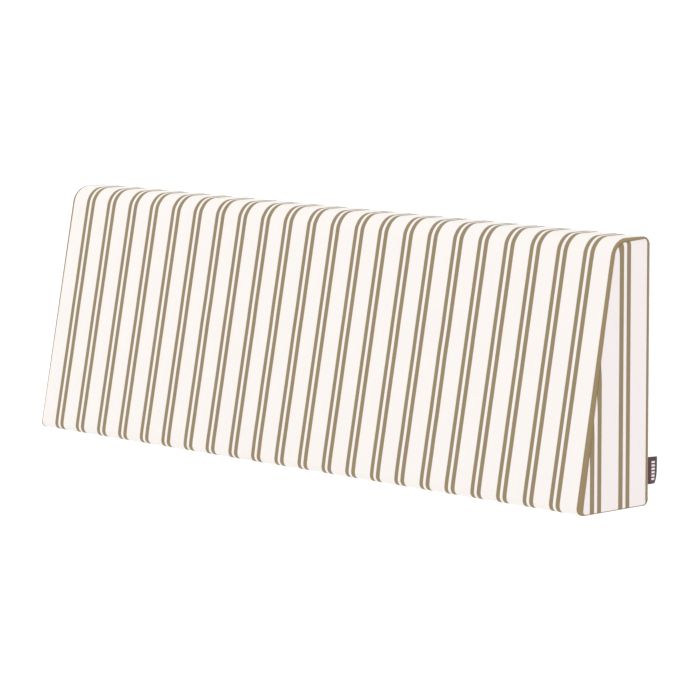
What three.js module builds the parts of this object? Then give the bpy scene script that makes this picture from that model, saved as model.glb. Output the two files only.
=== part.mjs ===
// Back cushion: a foam wedge in a boxed cotton cover, standing on its flat base.
// Millimetres, +Z up. X runs along the length, the slanted front faces -Y and the upright back +Y.
// The origin is the middle of the base, at the surface that the cushion stands on.
import * as THREE from "three";
import { mergeVertices } from "three/addons/utils/BufferGeometryUtils.js";

// Driving dimensions of the wedge, taken at its sewn edges
const LENGTH = 950;
const HEIGHT = 306.4;
const BASE_DEPTH = 119;
const FRONT_SLOPE = 0.2;

// Roundings of the wedge's section, and of each of its faces onto the end panels
const FRONT_BOTTOM_RADIUS = 8;
const FRONT_TOP_RADIUS = 24;
const BACK_TOP_RADIUS = 7;
const BACK_BOTTOM_RADIUS = 6;
const END_RADIUS = { base: 6, back: 8, top: 8, front: 8 };

// How each face of the wrap panel stands off its own plane: at the drawn-in ends, along its long
// edges once past the ends, and in the middle, where the filling crowns it
const SWELL = {
  base: { atEnd: 0, pastEnd: 0, crown: 0 },
  back: { atEnd: 0, pastEnd: 1.0, crown: 2.5 },
  top: { atEnd: -0.5, pastEnd: 0.2, crown: 0.3 },
  front: { atEnd: -0.6, pastEnd: 0.2, crown: 0.4 },
};
// Length over which the cloth rises from its drawn-in end, and the shape of that rise
const SWELL_REACH = 90;
const SWELL_RISE = 3;
const SWELL_STATIONS = [1, 0.62, 0.36, 0.17, 0.05, 0];
// The higher this power, the flatter the middle of a crowned face
const CROWN_FLATNESS = 4;

// End panels: a thin crowned piece of cloth over the foam, its rim caught under the edging
const PANEL_THICKNESS = 2.8;
const PANEL_CROWN = 1.2;
const PANEL_FLATNESS = { across: 4, up: 8 };
const PANEL_SET_BACK = 0.3;
const PANEL_TUCK = 2;
// Rings of the panel's face, as shares of the way from its rim to its upright middle line
const PANEL_RINGS = [0.12, 0.3, 0.55, 0.8];
const PANEL_MIDDLE_LINE = 0.68 * HEIGHT;

// Edging: a flat tape sewn round each end, over the rounding. Its two edges wander, and are given as
// lengths over the end from the start of the front's rounding, at the first and last point of each
// face: the base runs to the back, the back up, the top to the front and the front down.
const EDGING_THICKNESS = 1.2;
const EDGING_DOME = 0.4;
const EDGING_RIGHT = {
  base: { inner: [0.7, 0.7], outer: [5.2, 5.2] },
  back: { inner: [5.5, 5.5], outer: [13.2, 13.3] },
  top: { inner: [1.6, 1.4], outer: [6.8, 6.6] },
  front: { inner: [0.9, 2.5], outer: [5.6, 10] },
};
const EDGING_LEFT = {
  ...EDGING_RIGHT,
  top: { inner: [2.2, 2.2], outer: [7.4, 7.6] },
  front: { inner: [2.2, 4.4], outer: [7.6, 10.6] },
};

// Side label: a folded tape that stands out of the back seam of the right end
const LABEL_HEIGHT = 30.6;
const LABEL_WIDTH = 15;
const LABEL_THICKNESS = 1.2;
const LABEL_ABOVE_BASE = 21.9;
const LABEL_ROOT = { x: 470.4, y: 59.3 };
const LABEL_BEND = 1.2;
const LABEL_CORNER_CURL = 2.4;
const LABEL_CORNER_LIFT = 0.4;
const LABEL_CORNER_TUCK = 1.4;
const LABEL_CORNER_FADE = 4.5;
const LABEL_ROWS = 8;
const LABEL_COLUMNS = [0, 0.3, 0.6, 0.85, 1];

// Clearance between sewn pieces
const GAP = 0.3;

// Steps along the outline
const CORNER_STEPS = { small: 4, large: 7 };
const SIDE_STEPS = { base: 6, back: 8, top: 4, front: 8 };
const ARC_STEPS = 4;
const SEAT_STEPS = 2;

const HALF_LENGTH = LENGTH / 2;
const SHOULDER = HALF_LENGTH - END_RADIUS.front;

const lerp = THREE.MathUtils.lerp;

// The four faces of the section, in the order of the outline seen from +X, with outward normals
const slopeLength = Math.hypot(1, FRONT_SLOPE);
const FACES = [
  { name: "base", normal: [0, -1], reach: 0 },
  { name: "back", normal: [1, 0], reach: BASE_DEPTH / 2 },
  { name: "top", normal: [0, 1], reach: HEIGHT },
  {
    name: "front",
    normal: [-1 / slopeLength, FRONT_SLOPE / slopeLength],
    reach: BASE_DEPTH / 2 / slopeLength,
  },
];
// The corner that follows each face
const CORNERS = [
  { radius: BACK_BOTTOM_RADIUS, steps: CORNER_STEPS.small },
  { radius: BACK_TOP_RADIUS, steps: CORNER_STEPS.small },
  { radius: FRONT_TOP_RADIUS, steps: CORNER_STEPS.large },
  { radius: FRONT_BOTTOM_RADIUS, steps: CORNER_STEPS.small },
];

function meet(a, b) {
  const det = a.normal[0] * b.normal[1] - a.normal[1] * b.normal[0];
  return [
    (a.reach * b.normal[1] - b.reach * a.normal[1]) / det,
    (a.normal[0] * b.reach - b.normal[0] * a.reach) / det,
  ];
}

// Section outline at a given inset from the faces. swell runs from 0 at the ends to 1 inside.
function outline(inset, swell) {
  const faces = FACES.map(({ name, normal, reach }) => {
    const { atEnd, pastEnd } = SWELL[name];
    return { name, normal, reach: reach + atEnd + pastEnd * swell - inset };
  });
  const corners = CORNERS.map(({ radius, steps }, i) => {
    const before = faces[i];
    const after = faces[(i + 1) % faces.length];
    const rounding = Math.max(radius - inset, 1);
    const shrunk = [before, after].map((face) => ({ ...face, reach: face.reach - rounding }));
    return { centre: meet(...shrunk), rounding, steps, before, after };
  });
  const points = [];
  faces.forEach(({ name, normal }, i) => {
    const from = corners[(i + corners.length - 1) % corners.length];
    const to = corners[i];
    const start = from.centre.map((c, k) => c + from.rounding * normal[k]);
    const end = to.centre.map((c, k) => c + to.rounding * normal[k]);
    const steps = SIDE_STEPS[name];
    for (let n = 1; n < steps; n += 1) {
      const u = (1 - Math.cos((Math.PI * n) / steps)) / 2;
      const rise = SWELL[name].crown * swell * (1 - Math.abs(2 * u - 1) ** CROWN_FLATNESS);
      points.push({
        y: lerp(start[0], end[0], u) + rise * normal[0],
        z: lerp(start[1], end[1], u) + rise * normal[1],
      });
    }
    const angleFrom = Math.atan2(to.before.normal[1], to.before.normal[0]);
    const angleTo = Math.atan2(to.after.normal[1], to.after.normal[0]);
    const turn = (angleTo - angleFrom + 2 * Math.PI) % (2 * Math.PI);
    for (let n = 0; n <= to.steps; n += 1) {
      const angle = angleFrom + (turn * n) / to.steps;
      points.push({
        y: to.centre[0] + to.rounding * Math.cos(angle),
        z: to.centre[1] + to.rounding * Math.sin(angle),
      });
    }
  });
  return points;
}

// For each point of the outline, the rounding of the end and the two edges of the tape there
function sewnEnd(tape) {
  const places = [];
  FACES.forEach(({ name }, i) => {
    const following = FACES[(i + 1) % FACES.length].name;
    for (let n = 1; n < SIDE_STEPS[name]; n += 1) {
      const u = (1 - Math.cos((Math.PI * n) / SIDE_STEPS[name])) / 2;
      const [inner, outer] = [tape[name].inner, tape[name].outer].map((edge) => lerp(...edge, u));
      places.push({ radius: END_RADIUS[name], inner, outer });
    }
    for (let n = 0; n <= CORNERS[i].steps; n += 1) {
      const u = n / CORNERS[i].steps;
      places.push({
        radius: lerp(END_RADIUS[name], END_RADIUS[following], u),
        inner: lerp(tape[name].inner[1], tape[following].inner[0], u),
        outer: lerp(tape[name].outer[1], tape[following].outer[0], u),
      });
    }
  });
  return places.map((place) => {
    const straight = HALF_LENGTH - place.radius - SHOULDER;
    const flat = straight + (place.radius * Math.PI) / 2;
    const clearance = (GAP * place.radius) / (place.radius - PANEL_THICKNESS);
    return { ...place, straight, flat, clearance };
  });
}

// Place on the rounded end at a length over it, at a depth under its surface
function roundedEnd(length, depth, { radius, straight, flat }) {
  if (length < straight) {
    return { x: SHOULDER + length, inset: depth };
  }
  if (length > flat) {
    return { x: HALF_LENGTH - depth, inset: radius + length - flat };
  }
  const angle = (length - straight) / radius;
  return {
    x: HALF_LENGTH - radius + (radius - depth) * Math.sin(angle),
    inset: radius - (radius - depth) * Math.cos(angle),
  };
}

// A ring of corners, one for each point of the outline
function ring(x, inset, swell) {
  return outline(inset, swell).map(({ y, z }) => new THREE.Vector3(x, y, z));
}

// The same over the rounded end, with a length of its own for each point
function fittedRing(places, lengthOf, depth) {
  return places.map((place, i) => {
    const { x, inset } = roundedEnd(lengthOf(place), depth, place);
    const { y, z } = outline(inset, 0)[i];
    return new THREE.Vector3(x, y, z);
  });
}

function centreOf(points) {
  const sum = points.reduce((total, p) => total.add(p), new THREE.Vector3());
  return sum.divideScalar(points.length);
}

// Closed body through rings of equal count. With a loop the last ring joins the first,
// otherwise both ends close on their centres.
function skin(rings, loop) {
  const count = rings[0].length;
  const positions = rings.flat().flatMap((p) => [p.x, p.y, p.z]);
  const triangles = [];
  const bands = loop ? rings.length : rings.length - 1;
  for (let r = 0; r < bands; r += 1) {
    const here = r * count;
    const next = ((r + 1) % rings.length) * count;
    for (let i = 0; i < count; i += 1) {
      const j = (i + 1) % count;
      triangles.push(here + i, here + j, next + i, here + j, next + j, next + i);
    }
  }
  if (!loop) {
    [rings[0], rings[rings.length - 1]].forEach((rim, side) => {
      const hub = positions.length / 3;
      const middle = centreOf(rim);
      positions.push(middle.x, middle.y, middle.z);
      const first = side === 0 ? 0 : (rings.length - 1) * count;
      for (let i = 0; i < count; i += 1) {
        const j = (i + 1) % count;
        const fan = side === 0 ? [hub, first + j, first + i] : [hub, first + i, first + j];
        triangles.push(...fan);
      }
    });
  }
  const geometry = new THREE.BufferGeometry();
  geometry.setAttribute("position", new THREE.Float32BufferAttribute(positions, 3));
  geometry.setIndex(triangles);
  return mergeVertices(geometry);
}

// Mirror image about the middle of the length, with its faces turned to point out again
function mirrored(geometry) {
  const copy = geometry.clone();
  copy.scale(-1, 1, 1);
  const index = copy.getIndex();
  for (let i = 0; i < index.count; i += 3) {
    const second = index.getX(i + 1);
    index.setX(i + 1, index.getX(i + 2));
    index.setX(i + 2, second);
  }
  return copy;
}

// Rings of the wedge over its end: out to the tape's inner edge, stepped in under the tape, and
// stepped in again under the end panel
function wedgeEnd(places) {
  const seatDepth = EDGING_THICKNESS + GAP;
  const rings = [];
  for (let n = 0; n <= SEAT_STEPS; n += 1) {
    const share = n / SEAT_STEPS;
    rings.push(fittedRing(places, ({ inner }) => share * (inner - GAP), 0));
  }
  for (let n = 0; n <= SEAT_STEPS; n += 1) {
    const share = n / SEAT_STEPS;
    rings.push(fittedRing(places, ({ inner, outer, clearance }) => (
      lerp(inner - GAP, outer - PANEL_TUCK - clearance, share)
    ), seatDepth));
  }
  for (let n = 0; n <= SEAT_STEPS; n += 1) {
    const share = n / SEAT_STEPS;
    rings.push(fittedRing(places, ({ outer, flat, clearance }) => (
      lerp(outer - PANEL_TUCK - clearance, flat, share)
    ), PANEL_THICKNESS + GAP));
  }
  return rings;
}

// Foam wedge in its wrap panel
function cushion() {
  const rings = [ring(0, 0, 1)];
  SWELL_STATIONS.forEach((share) => {
    const swell = 1 - (1 - share) ** SWELL_RISE;
    const x = SHOULDER - SWELL_REACH * share;
    rings.push(ring(x, 0, swell));
    rings.unshift(ring(-x, 0, swell));
  });
  wedgeEnd(sewnEnd(EDGING_RIGHT)).slice(1).forEach((end) => rings.push(end));
  wedgeEnd(sewnEnd(EDGING_LEFT)).slice(1).forEach((end) => {
    rings.unshift(end.map((p) => new THREE.Vector3(-p.x, p.y, p.z)));
  });
  return skin(rings, false);
}

// How far the end panel's face stands out at a place on the end
function panelCrown(y, z) {
  const front = -BASE_DEPTH / 2 + FRONT_SLOPE * z;
  const back = BASE_DEPTH / 2;
  const across = Math.abs((2 * y - front - back) / (back - front));
  const up = Math.abs((2 * z) / HEIGHT - 1);
  return PANEL_CROWN * (1 - across ** PANEL_FLATNESS.across) * (1 - up ** PANEL_FLATNESS.up);
}

// Thin end panel: an inner face on the wedge, a rim that turns in under the tape, and a crowned face
function endPanel(tape) {
  const places = sewnEnd(tape);
  const seatDepth = EDGING_THICKNESS + GAP;
  const rings = [];
  for (let n = 0; n <= SEAT_STEPS; n += 1) {
    const share = n / SEAT_STEPS;
    rings.push(fittedRing(places, ({ outer, flat }) => (
      lerp(flat, outer - PANEL_TUCK, share)
    ), PANEL_THICKNESS));
  }
  rings.push(fittedRing(places, ({ outer }) => outer - PANEL_TUCK, seatDepth));
  rings.push(fittedRing(places, ({ outer }) => outer + GAP, seatDepth));
  for (let n = 0; n < ARC_STEPS; n += 1) {
    const share = n / (ARC_STEPS - 1);
    const face = fittedRing(places, ({ outer, flat }) => (
      lerp(outer + GAP, Math.max(flat, outer + 1), share)
    ), PANEL_SET_BACK * (1 - share));
    face.forEach((p) => {
      p.x -= share * (PANEL_CROWN - panelCrown(p.y, p.z));
    });
    rings.push(face);
  }
  const rim = rings[rings.length - 1];
  const low = (HEIGHT - PANEL_MIDDLE_LINE) / 2;
  PANEL_RINGS.forEach((share) => {
    rings.push(rim.map((p) => {
      const middleZ = THREE.MathUtils.clamp(p.z, low, low + PANEL_MIDDLE_LINE);
      const middleY = (FRONT_SLOPE * middleZ) / 2;
      const y = lerp(p.y, middleY, share);
      const z = lerp(p.z, middleZ, share);
      return new THREE.Vector3(HALF_LENGTH - PANEL_CROWN + panelCrown(y, z), y, z);
    }));
  });
  return skin(rings, false);
}

// Edging: out over the rounding on the tape's domed face, and back on its inner face
function edging(tape) {
  const places = sewnEnd(tape);
  const rings = [];
  for (let n = 0; n <= ARC_STEPS; n += 1) {
    const share = n / ARC_STEPS;
    const dome = EDGING_DOME * Math.sin(Math.PI * share);
    rings.push(fittedRing(places, ({ inner, outer }) => lerp(inner, outer, share), -dome));
  }
  for (let n = ARC_STEPS; n >= 0; n -= 1) {
    const share = n / ARC_STEPS;
    rings.push(fittedRing(places, ({ inner, outer }) => lerp(inner, outer, share), EDGING_THICKNESS));
  }
  rings.flat().forEach((p) => {
    p.z = Math.max(p.z, 0);
  });
  return skin(rings, true);
}

// Side label: rings round the folded tape, from its lower edge up. Its lower outer corner curls.
function sideLabel() {
  const rings = [];
  for (let n = 0; n <= LABEL_ROWS; n += 1) {
    const up = n / LABEL_ROWS;
    const low = (1 - up) ** LABEL_CORNER_FADE;
    const corner = (out, side) => {
      const bend = LABEL_BEND * out ** 2 - LABEL_CORNER_CURL * low * out ** 3;
      const half = out === 1 ? LABEL_THICKNESS / 4 : LABEL_THICKNESS / 2;
      return new THREE.Vector3(
        LABEL_ROOT.x + bend + side * half,
        LABEL_ROOT.y + LABEL_WIDTH * out - LABEL_CORNER_TUCK * low * out ** 2,
        LABEL_ABOVE_BASE + LABEL_HEIGHT * up + LABEL_CORNER_LIFT * low * out ** 2,
      );
    };
    const face = LABEL_COLUMNS.map((out) => corner(out, 1));
    const reverse = LABEL_COLUMNS.map((out) => corner(out, -1)).reverse();
    rings.push([...face, ...reverse]);
  }
  return skin(rings, false);
}

const stripedCotton = new THREE.MeshStandardMaterial({ color: 0xf8f5f1, roughness: 0.9, metalness: 0 });
const edgingCotton = new THREE.MeshStandardMaterial({ color: 0xa18b6f, roughness: 0.9, metalness: 0 });
const labelWeave = new THREE.MeshStandardMaterial({ color: 0x553e44, roughness: 0.8, metalness: 0 });

const group = new THREE.Group();

function add(name, geometry, material) {
  const mesh = new THREE.Mesh(geometry, material);
  mesh.name = name;
  group.add(mesh);
}

add("cushion", cushion(), stripedCotton);
add("end_panel_right", endPanel(EDGING_RIGHT), stripedCotton);
add("end_panel_left", mirrored(endPanel(EDGING_LEFT)), stripedCotton);
add("edging_right", edging(EDGING_RIGHT), edgingCotton);
add("edging_left", mirrored(edging(EDGING_LEFT)), edgingCotton);
add("label", sideLabel(), labelWeave);

export default group;
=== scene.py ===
import math

import bpy
import numpy as np
from mathutils import Matrix, Vector
from mathutils.geometry import delaunay_2d_cdt


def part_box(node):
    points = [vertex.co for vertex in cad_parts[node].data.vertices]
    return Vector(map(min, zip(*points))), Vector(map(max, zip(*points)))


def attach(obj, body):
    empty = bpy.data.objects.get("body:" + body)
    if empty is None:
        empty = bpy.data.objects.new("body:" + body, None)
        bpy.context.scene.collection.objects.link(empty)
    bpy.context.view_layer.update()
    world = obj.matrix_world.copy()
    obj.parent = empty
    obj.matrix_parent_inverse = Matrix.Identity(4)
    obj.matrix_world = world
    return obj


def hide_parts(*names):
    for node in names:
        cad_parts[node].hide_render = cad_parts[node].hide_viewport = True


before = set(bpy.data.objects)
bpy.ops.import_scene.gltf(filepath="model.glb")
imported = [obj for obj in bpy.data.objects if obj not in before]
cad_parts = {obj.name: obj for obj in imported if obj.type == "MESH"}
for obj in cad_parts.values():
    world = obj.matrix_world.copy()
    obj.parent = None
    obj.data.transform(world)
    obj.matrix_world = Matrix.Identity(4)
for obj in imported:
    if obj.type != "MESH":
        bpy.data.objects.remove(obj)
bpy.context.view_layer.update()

# Back cushion: a foam wedge in a boxed, striped cotton cover with brown edging round both ends.
# Lengths are in millimetres, and meshes are made in metres. +X runs along the length, the slanted
# front faces -Y, the upright back +Y, and the cushion stands on its base at z 0.
MM = 0.001

# The wedge, with the sizes of its solids
HALF_LENGTH = 475.0
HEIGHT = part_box("cushion")[1][2] / MM
BASE_DEPTH = 119.0
FRONT_SLOPE = 0.2

# Faces of the section, in order seen from +X: outward normal, distance from the middle of the base,
# how far the drawn-in ends stand off it, how far the filling swells it, and the number of steps
FRONT_LENGTH = math.hypot(1, FRONT_SLOPE)
FRONT_NORMAL = (-1 / FRONT_LENGTH, FRONT_SLOPE / FRONT_LENGTH)
FRONT_REACH = BASE_DEPTH / 2 / FRONT_LENGTH
FACES = [
    dict(name="base", normal=(0, -1), reach=0, at_end=0, swell=0, steps=18),
    dict(name="back", normal=(1, 0), reach=BASE_DEPTH / 2, at_end=0, swell=3.5, steps=42),
    dict(name="top", normal=(0, 1), reach=HEIGHT, at_end=0, swell=0.8, steps=8),
    dict(name="front", normal=FRONT_NORMAL, reach=FRONT_REACH, at_end=-0.5, swell=0.4, steps=42),
]
# The corner after each face: its rounding, that of the edging's outer edge there, and its steps
CORNERS = [
    dict(radius=9.0, edge=2.5, steps=9),
    dict(radius=9.2, edge=1.2, steps=9),
    dict(radius=24, edge=18.6, steps=14),
    dict(radius=8.3, edge=5, steps=7),
]
# A corner keeps this much rounding, however far the section is moved in
LEAST_ROUNDING = 1

# Rounding of each face onto the end panels, which starts at the shoulder or a little past it
END_RADIUS = dict(base=(2.6,), back=(8,), top=(8,), front=(8,))
SHOULDER = HALF_LENGTH - END_RADIUS["front"][0]

# The edging's two edges: lengths over the end from the shoulder, spaced evenly along each face. The
# base runs to the back, the back up, the top to the front and the front down.
INNER_RIGHT = dict(base=(2.5,), back=(5.5,), top=(1.6, 0.3), front=(0.5, 2.2))
OUTER_RIGHT = dict(
    base=(7.25, 7.25), back=(12.6, 12.6), top=(5.8, 7.5), front=(5.2, 5.8, 6.8, 8.4, 10.0)
)
INNER_LEFT = dict(INNER_RIGHT, top=(1.2,), front=(0.8, 1.5, 2.25, 3.1, 4.1))
OUTER_LEFT = dict(OUTER_RIGHT, top=(7.4, 7.6), front=(7.6, 10.6))
ENDS = [
    dict(name="right", side=1, inner=INNER_RIGHT, outer=OUTER_RIGHT, seed=21),
    dict(name="left", side=-1, inner=INNER_LEFT, outer=OUTER_LEFT, seed=22),
]
# How the line of the outer edge is drawn round a corner, and how it is found on the rounded end
EDGE_CORNER_STEPS = 12
DEEPEST_INSET = 20.0
HALVINGS = 24

# Stripes across the cloth: pitch of the pairs, widths of the two stripes and the gap between them,
# where the first pair lies in pitches, and how far every other pair stands off, also in pitches
WRAP_STRIPES = dict(pitch=41.44, first=5.90, gap=4.22, second=6.37, shift=10.5062, odd=-0.0109)
PANEL_STRIPES = dict(pitch=46.82, first=7.15, gap=4.85, second=6.6, shift=0.676, odd=0.0)
# The wrap's stripes spread a little towards its foot, as a share of their distance from the middle
STRIPE_SPREAD = 0.0029
STRIPE_LEVEL = 0.48


def seeded_waves(seed, lengths, heights):
    """A smooth random curve: a sum of sines of the given wavelengths, with seeded phases."""
    phases = np.random.default_rng(seed).uniform(0, 2 * math.pi, len(lengths))

    def curve(t):
        waves = [h * np.sin(2 * math.pi * t / w + p) for w, h, p in zip(lengths, heights, phases)]
        return sum(waves) / sum(heights)

    return curve


def near_seam(distance, reach, start):
    """How strongly a seam puckers the cloth: nothing on it, most just beside it, then fading."""
    return np.exp(-distance / reach) * (1 - np.exp(-distance / start))


def meet(a, b, at_a, at_b):
    """Where two faces of the section cross, at the given distances from the middle of the base."""
    return np.linalg.solve(np.array([a["normal"], b["normal"]]), np.array([at_a, at_b]))


class Outline:
    """The wedge's section as points with normals, each on a face or on the corner after it."""

    def __init__(self, finer=1):
        self.centres, self.slides, self.radii = [], [], []
        for i, corner in enumerate(CORNERS):
            a, b = FACES[i], FACES[(i + 1) % 4]
            radius = corner["radius"]
            at_a, at_b = (f["reach"] + f["at_end"] - radius for f in (a, b))
            self.centres.append(meet(a, b, at_a, at_b))
            self.slides.append(meet(a, b, 1, 1))
            self.radii.append(radius)
        rows = []
        for i, (face, corner) in enumerate(zip(FACES, CORNERS)):
            following = FACES[(i + 1) % 4]
            steps = face["steps"] * finer
            rows += [(i, n / steps, 0.0, face["normal"]) for n in range(1, steps)]
            begin = math.atan2(face["normal"][1], face["normal"][0])
            finish = math.atan2(following["normal"][1], following["normal"][0])
            turn = (finish - begin) % (2 * math.pi)
            steps = corner["steps"] * finer
            for n in range(steps + 1):
                angle = begin + turn * n / steps
                rows.append((i, 1.0, n / steps, (math.cos(angle), math.sin(angle))))
        self.face = np.array([row[0] for row in rows])
        self.share = np.array([row[1] for row in rows])
        self.turned = np.array([row[2] for row in rows])
        self.normals = np.array([row[3] for row in rows])
        self.count = len(rows)
        self.points = self.at(0.0)
        steps = np.linalg.norm(np.roll(self.points, -1, 0) - self.points, axis=1)
        self.arc = np.concatenate([[0.0], np.cumsum(steps)])

    def at(self, insets):
        """The points moved in from the faces, each by its own inset."""
        insets = np.broadcast_to(insets, self.count).reshape(-1, 1)

        def tangent_point(corner):
            radius = np.array(self.radii)[corner].reshape(-1, 1)
            past = np.maximum(insets + LEAST_ROUNDING - radius, 0)
            centre = np.array(self.centres)[corner] - np.array(self.slides)[corner] * past
            return centre + np.maximum(radius - insets, LEAST_ROUNDING) * self.normals

        before, after = tangent_point(self.face - 1), tangent_point(self.face)
        share = self.share.reshape(-1, 1)
        return before * (1 - share) + after * share

    def spread(self, values):
        """A value for each point, from values spaced evenly along each face, blended at corners."""
        levels = []
        for face, share, turned in zip(self.face, self.share, self.turned):
            here = values[FACES[face]["name"]]
            ahead = values[FACES[(face + 1) % 4]["name"]][0]
            level = here[0]
            if len(here) > 1:
                level = np.interp(share, np.linspace(0, 1, len(here)), here)
            levels.append(level + (ahead - level) * turned)
        return np.array(levels)


def bend_start(radius):
    """Length past the shoulder at which a rounding of this radius onto the end panel starts."""
    return HALF_LENGTH - radius - SHOULDER


def rounded_end(arc, depth, radius):
    """Place (x, inset) over the rounded end, at a length past the shoulder and a depth under it."""
    past = arc - bend_start(radius)
    angle = np.clip(past / radius, 0, math.pi / 2)
    x = HALF_LENGTH - radius + np.minimum(past, 0) + (radius - depth) * np.sin(angle)
    inset = radius - (radius - depth) * np.cos(angle) + np.maximum(past - radius * math.pi / 2, 0)
    return x, inset


def inside_of(loop, points):
    """Whether each point lies in the convex loop, which runs anticlockwise."""
    ab = np.roll(loop, -1, 0) - loop
    to_point = points[:, None] - loop
    cross = ab[:, 0] * to_point[..., 1] - ab[:, 1] * to_point[..., 0]
    return (cross > 0).all(axis=1)


def outer_loop(outline, lengths):
    """The line of the edging's outer edge, as it is seen from the end, with rounded corners."""
    tracks = []
    for i, face in enumerate(FACES):
        way = np.array(face["normal"])
        start = outline.centres[i - 1] + outline.radii[i - 1] * way
        finish = outline.centres[i] + outline.radii[i] * way
        radius = END_RADIUS[face["name"]][0]
        _, insets = rounded_end(np.array(lengths[face["name"]]), 0.0, radius)
        shares = np.linspace(0, 1, len(insets)).reshape(-1, 1)
        tracks.append(start * (1 - shares) + finish * shares - way * insets.reshape(-1, 1))
    loop = []
    for i, track in enumerate(tracks):
        following = tracks[(i + 1) % 4]
        into, out = track[-1] - track[-2], following[1] - following[0]
        into, out = into / np.linalg.norm(into), out / np.linalg.norm(out)
        ahead = np.linalg.solve(np.column_stack([into, -out]), following[0] - track[-1])[0]
        vertex = track[-1] + ahead * into
        radius = CORNERS[i]["edge"]
        turn = math.acos(float(into @ out))
        left = np.array((-into[1], into[0]))
        centre = vertex - into * radius * math.tan(turn / 2) + left * radius
        begin = math.atan2(-left[1], -left[0])
        loop += list(track[1:-1])
        for n in range(EDGE_CORNER_STEPS + 1):
            angle = begin + turn * n / EDGE_CORNER_STEPS
            loop.append(centre + radius * np.array((math.cos(angle), math.sin(angle))))
    return np.array(loop)


def outer_lengths(outline, end):
    """Lengths over the end to the edging's outer edge, found by closing in on its line."""
    loop = outer_loop(outline, end["outer"])
    low, high = np.zeros(outline.count), np.full(outline.count, DEEPEST_INSET)
    for _ in range(HALVINGS):
        middle = (low + high) / 2
        inside = inside_of(loop, outline.at(middle))
        low, high = np.where(inside, low, middle), np.where(inside, middle, high)
    radius = outline.spread(END_RADIUS)
    turned = np.arccos(np.clip(1 - high / radius, 0, 1)) * radius
    return bend_start(radius) + turned + np.maximum(high - radius, 0)


def end_ring(outline, arc, depth):
    """A ring of points over the right end, with a length and depth for each point."""
    x, insets = rounded_end(arc, depth, outline.spread(END_RADIUS))
    return np.column_stack([x, outline.at(insets)])


def linked(name, data):
    """A new object with this data, in the scene."""
    obj = bpy.data.objects.new(name, data)
    bpy.context.scene.collection.objects.link(obj)
    return obj


def make_object(name, points, faces, uvs):
    """A smooth-shaded mesh object from points in millimetres, with a uv for each face corner."""
    mesh = bpy.data.meshes.new(name)
    mesh.from_pydata((np.asarray(points) * MM).tolist(), [], faces)
    layer = mesh.uv_layers.new(name="cloth")
    layer.data.foreach_set("uv", (np.asarray(uvs, dtype=np.float32) * MM).ravel())
    mesh.shade_smooth()
    mesh.validate()
    mesh.update()
    return linked(name, mesh)


def points_of(mesh):
    """The mesh's points in millimetres."""
    flat = np.empty(len(mesh.vertices) * 3)
    mesh.vertices.foreach_get("co", flat)
    return flat.reshape(-1, 3) / MM


def set_points(mesh, points):
    mesh.vertices.foreach_set("co", (points * MM).ravel())
    mesh.update()


def above_floor(points, lowest=0):
    points[:, 2] = np.maximum(points[:, 2], lowest)
    return points


def applied(obj):
    """Replaces the object's mesh by its evaluated one, with no modifier left."""
    depsgraph = bpy.context.evaluated_depsgraph_get()
    mesh = bpy.data.meshes.new_from_object(obj.evaluated_get(depsgraph), depsgraph=depsgraph)
    obj.modifiers.clear()
    obj.data = mesh
    return obj


# Cloth that is blown up from inside: how it behaves, its time, the pressure in the wrap and in an
# end panel, and the simulated swelling that counts as full
CLOTH = dict(
    quality=5, mass=0.3, tension_stiffness=15, compression_stiffness=15, shear_stiffness=5,
    bending_stiffness=0.5,
)
CLOTH_FRAMES = 20
WRAP_PRESSURE = 4.0
PANEL_PRESSURE = 6.0
SATURATION = 4.0


def inflated(obj, pinned, pressure):
    """How far each point moves when the cloth is blown up, with the pinned points held."""
    group = obj.vertex_groups.new(name="sewn")
    group.add([int(i) for i in np.flatnonzero(pinned)], 1.0, "REPLACE")
    cloth = obj.modifiers.new("cloth", "CLOTH")
    settings = cloth.settings
    for name, value in CLOTH.items():
        setattr(settings, name, value)
    settings.vertex_group_mass = "sewn"
    settings.use_pressure = True
    settings.uniform_pressure_force = pressure
    settings.effector_weights.gravity = 0
    cloth.point_cache.frame_start = 1
    cloth.point_cache.frame_end = CLOTH_FRAMES
    scene = bpy.context.scene
    for number in range(1, CLOTH_FRAMES + 1):
        scene.frame_set(number)
    depsgraph = bpy.context.evaluated_depsgraph_get()
    result = obj.evaluated_get(depsgraph).to_mesh()
    moved = points_of(result) - points_of(obj.data)
    obj.evaluated_get(depsgraph).to_mesh_clear()
    obj.modifiers.clear()
    obj.vertex_groups.clear()
    scene.frame_set(1)
    return moved


def lofted(rings, loop=False):
    """Quads between rings of equal count, each ring and, with loop, the rings themselves closed."""
    rows, count = len(rings), len(rings[0])
    faces = []
    for r in range(rows if loop else rows - 1):
        here, there = r * count, (r + 1) % rows * count
        for i in range(count):
            j = (i + 1) % count
            faces.append((here + i, here + j, there + j, there + i))
    return np.concatenate(rings), faces


# Wrap panel: size of its grid, and how deep the cloth goes under the edging and the end panels
GRID = 7.6
UNDER_EDGING = 0.9
UNDER_PANEL = 2.4
# Its rings over an end: shares of the way to the edging, then lengths from the edging's inner and
# from its outer edge with their depths, and last one ring on the foam's flat end
WRAP_SHARES = (0.4, 0.8)
WRAP_AT_INNER = ((-0.08, 0.03), (0.15, UNDER_EDGING))
WRAP_AT_OUTER = ((-2.2, UNDER_EDGING), (-2.1, UNDER_PANEL))
END_FACE = 471.9
END_FACE_INSET = 8.3
# The top stands a little higher between the two ends, which fades towards them and down the wedge
TOP_ARCH = 0.65
ARCH_END_POWER = 10
ARCH_FOOT_POWER = 4
# The band by the seam that the simulation holds
PINNED_BAND = 0.5
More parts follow.
